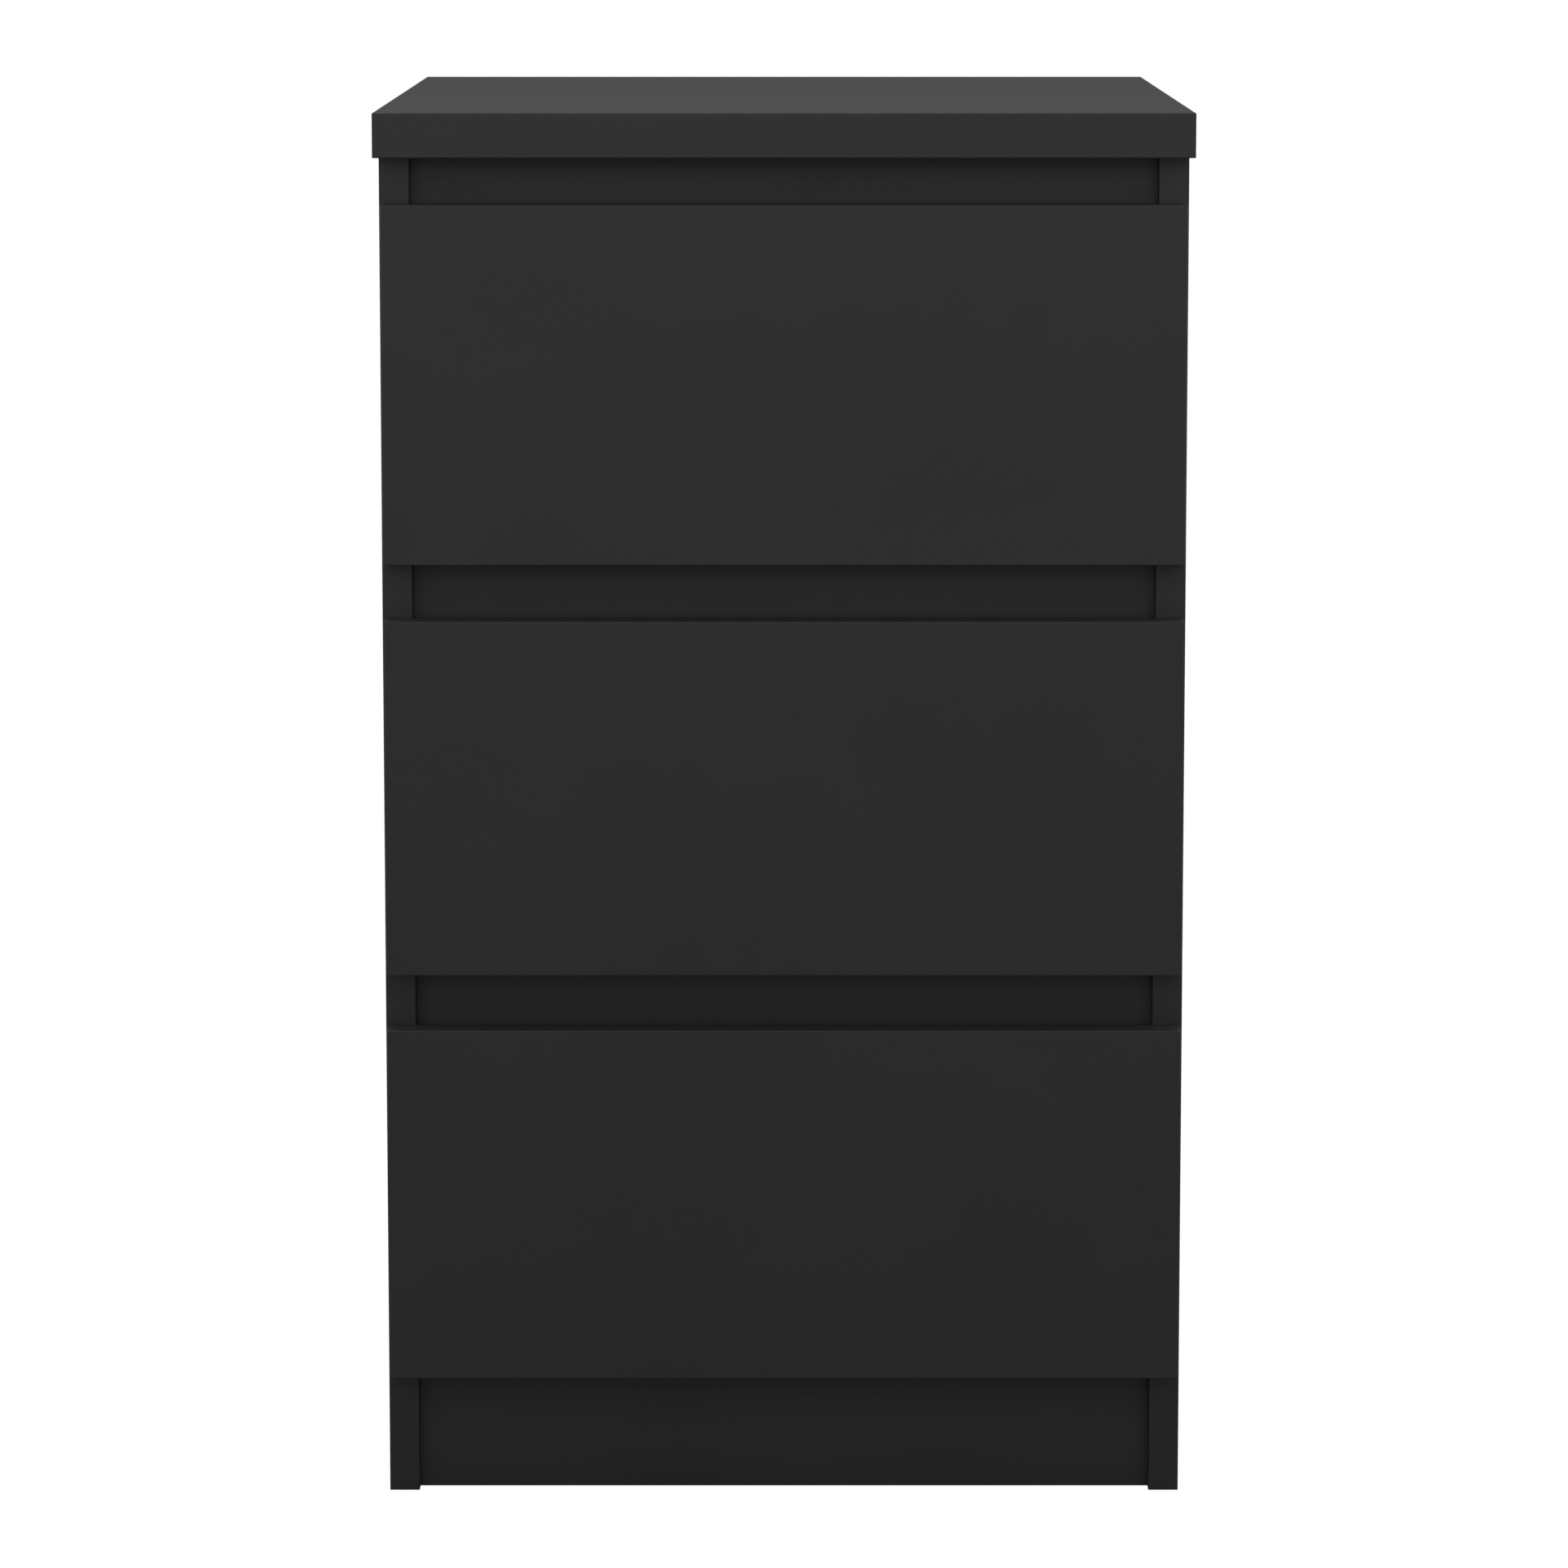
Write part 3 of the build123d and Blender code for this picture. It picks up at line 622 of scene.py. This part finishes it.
def fittingTree(name, sizes, makeShape):
    # the shape from makeShape at every seat, turned to its facing and toward directions
    inputs = {"Seats": "Geometry", "Finish": "Material", "Spin": 0.0, "Seed": 0, **sizes}
    tree, given, result = newTree(name, "GeometryNodeTree", inputs, {"Shape": "Geometry"})
    tree.is_modifier = True
    shape = makeShape(tree, given)
    facet = addNode(tree, "GeometryNodeInputMeshEdgeAngle").outputs["Unsigned Angle"]
    smooth = addNode(tree, "GeometryNodeSetShadeSmooth", {"Geometry": shape, "Shade Smooth": True})
    crisp = addNode(tree, "GeometryNodeSetShadeSmooth", {
        "Geometry": smooth.outputs[0], "Selection": calc(tree, "GREATER_THAN", facet, creaseAngle),
        "Shade Smooth": False}, domain="EDGE")
    looks = {}
    for label in ("facing", "toward"):
        looks[label] = addNode(tree, "GeometryNodeInputNamedAttribute", {"Name": label},
                               data_type="FLOAT_VECTOR").outputs[0]
    axes = addNode(tree, "FunctionNodeAxesToRotation", {
        "Primary Axis": looks["facing"], "Secondary Axis": looks["toward"]},
        primary_axis="Z", secondary_axis="X")
    chance = addNode(tree, "FunctionNodeRandomValue", {
        "Min": 0.0, "Max": given["Spin"], "Seed": given["Seed"]}, data_type="FLOAT")
    spin = addNode(tree, "FunctionNodeAxisAngleToRotation", {
        "Axis": (0.0, 0.0, 1.0), "Angle": chance.outputs["Value"]})
    turn = addNode(tree, "FunctionNodeRotateRotation", {
        "Rotation": axes.outputs[0], "Rotate By": spin.outputs[0]}, rotation_space="LOCAL")
    placed = addNode(tree, "GeometryNodeInstanceOnPoints", {
        "Points": given["Seats"], "Instance": crisp.outputs[0], "Rotation": turn.outputs[0]})
    real = addNode(tree, "GeometryNodeRealizeInstances", {"Geometry": placed.outputs[0]})
    finished = addNode(tree, "GeometryNodeSetMaterial", {
        "Geometry": real.outputs[0], "Material": given["Finish"]})
    tree.links.new(finished.outputs[0], result["Shape"])
    return tree


def looseParts(name):
    # lowest and highest corner of each separate solid in a node
    shape = bmesh.new()
    shape.from_mesh(nodes[name].data)
    bmesh.ops.remove_doubles(shape, verts=shape.verts, dist=weldDistance)
    parts, seen = [], set()
    for start in shape.verts:
        if start in seen:
            continue
        seen.add(start)
        queue, places = [start], []
        while queue:
            corner = queue.pop()
            places.append(corner.co.copy())
            for edge in corner.link_edges:
                other = edge.other_vert(corner)
                if other not in seen:
                    seen.add(other)
                    queue.append(other)
        spans = list(zip(*places))
        parts.append((Vector(map(min, spans)), Vector(map(max, spans))))
    shape.free()
    return parts


def findSeats(name, looks, boltNode=None):
    # where each fitting's head is, which way it faces, and for a cam the way to its bolt.
    # looks: the way that a head on each axis faces; on x, away from the middle counts as forward
    bolts = [(low + high) / 2 for low, high in looseParts(boltNode)] if boltNode else []
    seats = []
    for low, high in looseParts(name):
        size, middle = high - low, (low + high) / 2
        order = sorted(range(3), key=lambda axis: size[axis])
        # its axis is the size that differs from the two others, which are its width
        long = size[order[2]] - size[order[1]] > size[order[1]] - size[order[0]]
        axis = order[2] if long else order[0]
        sign = looks["xyz"[axis]]
        if axis == 0 and middle.x < 0:
            sign = -sign
        face = Vector([sign if number == axis else 0.0 for number in range(3)])
        head = middle + face * size[axis] / 2
        toward = Vector([0.0 if number == axis else 1.0 for number in range(3)])
        sunk = 0.0
        if bolts:
            way = min((bolt - middle for bolt in bolts), key=lambda step: step.length)
            sunk = size[axis] / 2 - way.dot(face)
            toward = way - face * way.dot(face)
        seats.append({"head": head, "facing": face, "toward": toward.normalized(), "sunk": sunk,
                      "radius": size[order[1 if long else 2]] / 2, "length": size[axis]})
    return seats


def makeFitting(cadNode, suffix, tree, finish, seats, values):
    shape = bpy.data.meshes.new(cadNode + suffix)
    shape.from_pydata([seat["head"] for seat in seats], [], [])
    for label in ("facing", "toward"):
        stored = shape.attributes.new(label, "FLOAT_VECTOR", "POINT")
        stored.data.foreach_set("vector", [part for seat in seats for part in seat[label]])
    piece = bpy.data.objects.new(cadNode + suffix, shape)
    bpy.context.scene.collection.objects.link(piece)
    modifier = piece.modifiers.new("fitting", "NODES")
    modifier.node_group = tree
    values = {"Finish": finish, **values}
    for item in tree.interface.items_tree:
        if item.in_out == "INPUT" and item.name in values:
            modifier[item.identifier] = values[item.name]
    bpy.context.view_layer.update()
    ready = piece.evaluated_get(bpy.context.evaluated_depsgraph_get())
    solid = bpy.data.meshes.new_from_object(ready)
    piece.modifiers.remove(modifier)
    solid.materials.clear()
    solid.materials.append(finish)
    piece.data = solid
    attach(piece, nodes[cadNode]["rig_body"])
    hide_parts(cadNode)


# screws: a round or a countersunk head with a cross slot, and a wound thread
screw = {
    "sizes": {
        "Head Radius": 0.004, "Under Radius": 0.0037, "Head Height": 0.0014, "Rim": 0.0008,
        "Length": 0.0134, "Core Radius": 0.0012, "Thread Height": 0.0005, "Thread Length": 0.010,
        "Pitch": 0.0014, "Slot Length": 0.0042, "Slot Width": 0.0008, "Slot Depth": 0.0009},
    "countersunk": {
        "Under Radius": 0.0017, "Rim": 0.0003, "Thread Length": 0.024, "Head Height": 0.0020,
        "Slot Length": 0.0036, "Slot Depth": 0.0012},
    "threadTip": 0.97,     # share of the length that the thread reaches
    "sides": 28,
    "seeds": {"cabinet": 3, "runner": 10, "back": 20},     # for how far each was turned when driven
}


def screwShape(tree, given):
    body = turnedShape(tree, given, (
        ("Core Radius", 0.0, "Length", -1.0),
        ("Core Radius", 0.25, "Length", -0.99),
        ("Core Radius", 1.0, "Length", -0.88),
        ("Core Radius", 1.0, "Head Height", -1.0),
        ("Under Radius", 1.0, "Head Height", -1.0),
        ("Head Radius", 1.0, "Rim", -1.0),
        ("Head Radius", 0.96, "Rim", -0.55),
        ("Head Radius", 0.8, "Rim", -0.2),
        ("Head Radius", 0.5, "Rim", -0.05),
        ("Head Radius", 0.0, "Rim", 0.0),
    ), screw["sides"])
    cut = cutBars(tree, given, body, (0.0, math.pi / 2))
    wound = screwThread(tree, given, calc(tree, "MULTIPLY", given["Length"], -screw["threadTip"]))
    both = addNode(tree, "GeometryNodeJoinGeometry", {0: cut.outputs[0]})
    tree.links.new(wound, both.inputs[0])
    return both.outputs[0]


screwTree = fittingTree("screw", screw["sizes"], screwShape)
drawerNames = [joint["name"].removesuffix("_slide") for joint in frame["joints"]
               if joint["name"].endswith("_slide")]


def addScrews(cadNode, suffix, looks, seed, values):
    seats = findSeats(cadNode, looks)
    makeFitting(cadNode, suffix, screwTree, finishes["zinc_screw"], seats, {
        "Head Radius": seats[0]["radius"], "Length": seats[0]["length"],
        "Spin": math.pi / 2, "Seed": seed, **values})


addScrews("cabinet_runner_screws", "_panhead", {"x": -1.0}, screw["seeds"]["cabinet"], {})
for number, drawer in enumerate(drawerNames):
    addScrews(drawer + "_runner_screws", "_panhead", {"z": -1.0}, screw["seeds"]["runner"] + number, {})
    addScrews(drawer + "_back_screws", "_countersunk", {"x": 1.0}, screw["seeds"]["back"] + number,
              screw["countersunk"])
print("screws made")


# cam locks: a cross recess and an arrow to the bolt on the face, hollow round the bolt's head
cam = {
    "sizes": {
        "Radius": 0.0075, "Depth": 0.012, "Lip": 0.0004, "Bolt Depth": 0.0075,
        "Neck Radius": 0.0023, "Grip Radius": 0.0033, "Grip Length": 0.0031, "Slack": 0.0003,
        "Slot Length": 0.006, "Slot Width": 0.0012, "Slot Depth": 0.0015,
        "Arrow": 0.0013, "Arrow Depth": 0.0003},
    "neckPlace": 0.6,      # where the neck's hole and the arrow are centred, in radii
    "arrowPlace": 0.72,
    "arrowSides": 3,
    "sides": 40,
    "holeSides": 20,
}


def camShape(tree, given):
    body = turnedShape(tree, given, (
        ("Radius", 0.0, "Depth", -1.0),
        ("Radius", 0.94, "Depth", -1.0),
        ("Radius", 1.0, "Depth", -0.95),
        ("Radius", 1.0, "Lip", -1.0),
        ("Radius", 0.95, "Lip", 0.0),
        ("Radius", 0.0, "Lip", 0.0),
    ), cam["sides"])
    cut = cutBars(tree, given, body, (math.pi / 4, -math.pi / 4))
    below = calc(tree, "MULTIPLY", given["Bolt Depth"], -1.0)
    neckMiddle = calc(tree, "MULTIPLY", given["Radius"], cam["neckPlace"])
    gripMiddle = calc(tree, "SUBTRACT", calc(tree, "MULTIPLY", given["Grip Length"], 0.5), given["Slack"])
    holes = (("Neck Radius", given["Radius"], neckMiddle),
             ("Grip Radius", given["Grip Length"], gripMiddle))
    for radius, length, along in holes:
        hole = addNode(tree, "GeometryNodeMeshCylinder", {
            "Vertices": cam["holeSides"], "Radius": given[radius], "Depth": length})
        spot = addNode(tree, "ShaderNodeCombineXYZ", {"X": along, "Z": below}).outputs[0]
        laid = addNode(tree, "GeometryNodeTransform", {
            "Geometry": hole.outputs[0], "Translation": spot, "Rotation": (0.0, math.pi / 2, 0.0)})
        tree.links.new(laid.outputs[0], cut.inputs["Mesh 2"])
    # half of the arrow too stands above the face
    arrow = addNode(tree, "GeometryNodeMeshCylinder", {
        "Vertices": cam["arrowSides"], "Radius": given["Arrow"],
        "Depth": calc(tree, "MULTIPLY", given["Arrow Depth"], 2.0)})
    spot = addNode(tree, "ShaderNodeCombineXYZ", {
        "X": calc(tree, "MULTIPLY", given["Radius"], cam["arrowPlace"])}).outputs[0]
    marked = addNode(tree, "GeometryNodeTransform", {"Geometry": arrow.outputs[0], "Translation": spot})
    tree.links.new(marked.outputs[0], cut.inputs["Mesh 2"])
    return weld(tree, cut.outputs[0])


# the bolts that the cams grip: thread, shank, neck and head
bolt = {
    "sizes": {
        "Length": 0.045, "Thread Length": 0.011, "Core Radius": 0.0020, "Thread Height": 0.0005,
        "Pitch": 0.0018, "Shank Radius": 0.003, "Neck Radius": 0.002, "Neck Length": 0.0079,
        "Head Length": 0.0025},
    "reachPastCam": 0.0004,     # from the cam's edge to where the neck begins
    "threadTip": 0.99,
    "sides": 24,
}


def boltShape(tree, given):
    shankStart = calc(tree, "SUBTRACT", given["Length"], given["Thread Length"])
    known = {"Shank Start": shankStart, **{name: given[name] for name in bolt["sizes"]}}
    body = turnedShape(tree, known, (
        ("Core Radius", 0.0, "Length", -1.0),
        ("Core Radius", 0.6, "Length", -1.0),
        ("Core Radius", 1.0, "Length", -0.98),
        ("Core Radius", 1.0, "Shank Start", -1.0),
        ("Shank Radius", 1.0, "Shank Start", -1.0),
        ("Shank Radius", 1.0, "Neck Length", -1.08),
        ("Neck Radius", 1.0, "Neck Length", -1.0),
        ("Neck Radius", 1.0, "Head Length", -1.0),
        ("Shank Radius", 0.93, "Head Length", -1.0),
        ("Shank Radius", 1.0, "Head Length", -0.85),
        ("Shank Radius", 1.0, "Head Length", -0.3),
        ("Shank Radius", 0.75, "Head Length", 0.0),
        ("Shank Radius", 0.0, "Head Length", 0.0),
    ), bolt["sides"])
    wound = screwThread(tree, given, calc(tree, "MULTIPLY", given["Length"], -bolt["threadTip"]))
    both = addNode(tree, "GeometryNodeJoinGeometry", {0: body})
    tree.links.new(wound, both.inputs[0])
    return both.outputs[0]


# dowels, fluted along their length and chamfered at both ends
dowel = {
    "sizes": {"Radius": 0.004, "Length": 0.03, "Flute Depth": 0.0003},
    "flutes": 16,
    "sidesEach": 4,
}


def dowelShape(tree, given):
    return turnedShape(tree, given, (
        ("Radius", 0.0, "Length", -1.0),
        ("Radius", 0.78, "Length", -1.0),
        ("Radius", 1.0, "Length", -0.965),
        ("Radius", 1.0, "Length", -0.035),
        ("Radius", 0.78, "Length", 0.0),
        ("Radius", 0.0, "Length", 0.0),
    ), dowel["flutes"] * dowel["sidesEach"], dowel["flutes"])


# rollers, dished between the hub and the rim on both faces
roller = {
    "sizes": {"Radius": 0.01, "Width": 0.0064, "Bore": 0.00258, "Hub": 0.0048},
    "sides": 56,
}


def rollerShape(tree, given):
    return turnedShape(tree, given, (
        ("Bore", 1.0, "Width", -1.0),
        ("Hub", 1.0, "Width", -1.0),
        ("Hub", 1.08, "Width", -0.86),
        ("Radius", 0.8, "Width", -0.86),
        ("Radius", 0.84, "Width", -1.0),
        ("Radius", 0.95, "Width", -1.0),
        ("Radius", 0.985, "Width", -0.96),
        ("Radius", 1.0, "Width", -0.88),
        ("Radius", 1.0, "Width", -0.12),
        ("Radius", 0.985, "Width", -0.04),
        ("Radius", 0.95, "Width", 0.0),
        ("Radius", 0.84, "Width", 0.0),
        ("Radius", 0.8, "Width", -0.14),
        ("Hub", 1.08, "Width", -0.14),
        ("Hub", 1.0, "Width", 0.0),
        ("Bore", 1.0, "Width", 0.0),
        ("Bore", 1.0, "Width", -1.0),
    ), roller["sides"])


camTree = fittingTree("cam lock", cam["sizes"], camShape)
boltTree = fittingTree("cam bolt", bolt["sizes"], boltShape)
dowelTree = fittingTree("dowel", dowel["sizes"], dowelShape)
rollerTree = fittingTree("roller", roller["sizes"], rollerShape)


def addCams(before, camLooks, boltLooks):
    # cams and bolts of one body, each bolt as long as the frame has it
    locks, bolts = before + "cam_locks", before + "cam_bolts"
    seats = findSeats(locks, camLooks, bolts)
    radius = seats[0]["radius"]
    makeFitting(locks, "_cast", camTree, finishes["zinc_fitting"], seats, {
        "Radius": radius, "Depth": seats[0]["length"], "Bolt Depth": seats[0]["sunk"]})
    seats = findSeats(bolts, boltLooks)
    makeFitting(bolts, "_turned", boltTree, finishes["zinc_fitting"], seats, {
        "Length": seats[0]["length"], "Neck Length": radius + bolt["reachPastCam"]})


addCams("", {"x": -1.0, "y": 1.0, "z": -1.0}, {"x": -1.0, "z": -1.0})
for drawer in drawerNames:
    addCams(drawer + "_", {"x": 1.0}, {"y": 1.0})
print("cams and bolts made")


def addRound(cadNode, suffix, tree, finish, lengthInput):
    # dowels and rollers are alike at both ends, so either may be the head
    seats = findSeats(cadNode, {"x": 1.0, "y": 1.0, "z": 1.0})
    makeFitting(cadNode, suffix, tree, finish, seats, {
        lengthInput: seats[0]["length"], "Radius": seats[0]["radius"]})


addRound("dowels", "_fluted", dowelTree, finishes["beech"], "Length")
for drawer in drawerNames:
    for name in (drawer + "_rollers", drawer.replace("_drawer", "_cabinet") + "_rollers"):
        addRound(name, "_dished", rollerTree, finishes["nylon"], "Width")
print("dowels and rollers made")
